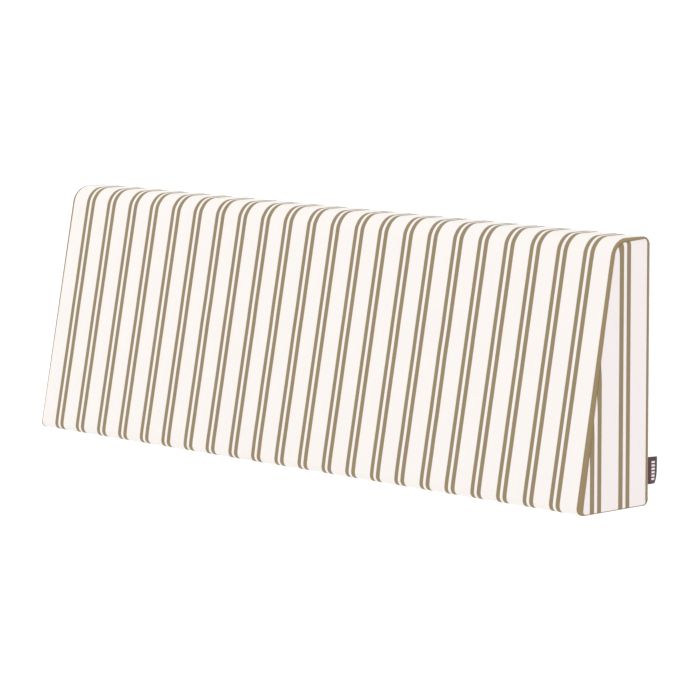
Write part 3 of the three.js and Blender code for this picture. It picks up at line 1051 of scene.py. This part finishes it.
wrap_cotton = striped_cotton("wrap_cotton", WRAP_STRIPES, SHOULDER, WHITE_WRAP)
# The end panels' white is painted shade: the wrap's cloth made a trace darker and pinker to copy
# the light on the ends.
shaded_panel_cotton = striped_cotton("shaded_panel_cotton", PANEL_STRIPES, BASE_DEPTH, SHADED_PANEL_WHITE)
tape = edging_cotton("edging_tape")
brown_thread = stitch_thread("brown_thread", BROWN_THREAD)
dark_thread = stitch_thread("dark_thread", DARK_THREAD)

cover = make_cover()
dress(cover, wrap_cotton, "striped_cotton", "cushion")

sewing = stitch_tree()
for end in ENDS:
    panel = make_panel(end)
    dress(panel, shaded_panel_cotton, "striped_cotton", f"end_panel_{end['name']}")
    edging = make_edging(end)
    dress(edging, tape, "edging_cotton", f"edging_{end['name']}")
    lines = edging_stitch_lines(end)
    stitches = sewn(f"edging_stitches_{end['name']}", sewing, lines, brown_thread, EDGING_STITCH)
    dress(stitches, brown_thread, "edging_cotton")

label = make_label()
dress(label, label_weave("label_satin"), "label_weave", "label")
lines = [(label_stitch_line(), False)]
label_stitches = sewn("label_stitches", sewing, lines, dark_thread, LABEL_STITCH)
dress(label_stitches, dark_thread, "label_weave")

# The floor glows like a light table, which keeps the contact shadow faint as in the photograph.
# These lengths are in metres, and the floor lies a little below the base.
FLOOR_HALF = 40.0
FLOOR_LEVEL = -0.0002
FLOOR_GLOW = 0.95
FLOOR_GREY = (0.15, 0.15, 0.15, 1)
WORLD_STRENGTH = 1.01
KEY_LIGHT = dict(place=(-1.26, -1.89, 3.7), target=(0, 0, 0.15), size=2.6, power=21.6)


def make_floor():
    mesh = bpy.data.meshes.new("floor")
    signs = ((-1, -1), (1, -1), (1, 1), (-1, 1))
    corners = [(x * FLOOR_HALF, y * FLOOR_HALF, FLOOR_LEVEL) for x, y in signs]
    mesh.from_pydata(corners, [], [(0, 1, 2, 3)])
    floor = linked("floor", mesh)
    finish = Finish("pale_floor")
    finish.shader.inputs["Emission Color"].default_value = (1, 1, 1, 1)
    finish.shader.inputs["Emission Strength"].default_value = FLOOR_GLOW
    mesh.materials.append(finish.surface(FLOOR_GREY, roughness=0.9, specular=0.1))


def area_light(name, place, target, size, power):
    data = bpy.data.lights.new(name, "AREA")
    data.shape = "SQUARE"
    data.size = size
    data.energy = power
    light = linked(name, data)
    light.location = place
    light.rotation_euler = (Vector(target) - Vector(place)).to_track_quat("-Z", "Y").to_euler()


def make_studio():
    world = bpy.data.worlds.new("studio")
    world.use_nodes = True
    background = world.node_tree.nodes["Background"]
    background.inputs["Color"].default_value = (1, 1, 1, 1)
    background.inputs["Strength"].default_value = WORLD_STRENGTH
    bpy.context.scene.world = world
    area_light("key", **KEY_LIGHT)


# The photograph's camera: its place, and the turn, tilt and roll of its view
CAMERA_PLACE = (3434.1, -3232.1, 754.03)
CAMERA_TURN = math.radians(46.369)
CAMERA_TILT = math.radians(7.438)
CAMERA_ROLL = math.radians(-0.118)
CAMERA_LENS = 202.72
CAMERA_SENSOR = 36


def make_camera():
    data = bpy.data.cameras.new("camera")
    data.lens = CAMERA_LENS
    data.sensor_width = CAMERA_SENSOR
    data.clip_start, data.clip_end = 0.1, 200
    camera = linked("camera", data)
    ahead = Vector((-math.sin(CAMERA_TURN) * math.cos(CAMERA_TILT),
                    math.cos(CAMERA_TURN) * math.cos(CAMERA_TILT), -math.sin(CAMERA_TILT)))
    right = Vector((math.cos(CAMERA_TURN), math.sin(CAMERA_TURN), 0))
    up = right.cross(ahead)
    right, up = (right * math.cos(CAMERA_ROLL) + up * math.sin(CAMERA_ROLL),
                 up * math.cos(CAMERA_ROLL) - right * math.sin(CAMERA_ROLL))
    turn = Matrix((right, up, -ahead)).transposed()
    camera.matrix_world = Matrix.Translation(Vector(CAMERA_PLACE) * MM) @ turn.to_4x4()
    bpy.context.scene.camera = camera


make_floor()
make_studio()
make_camera()
bpy.context.scene.view_settings.view_transform = "Standard"
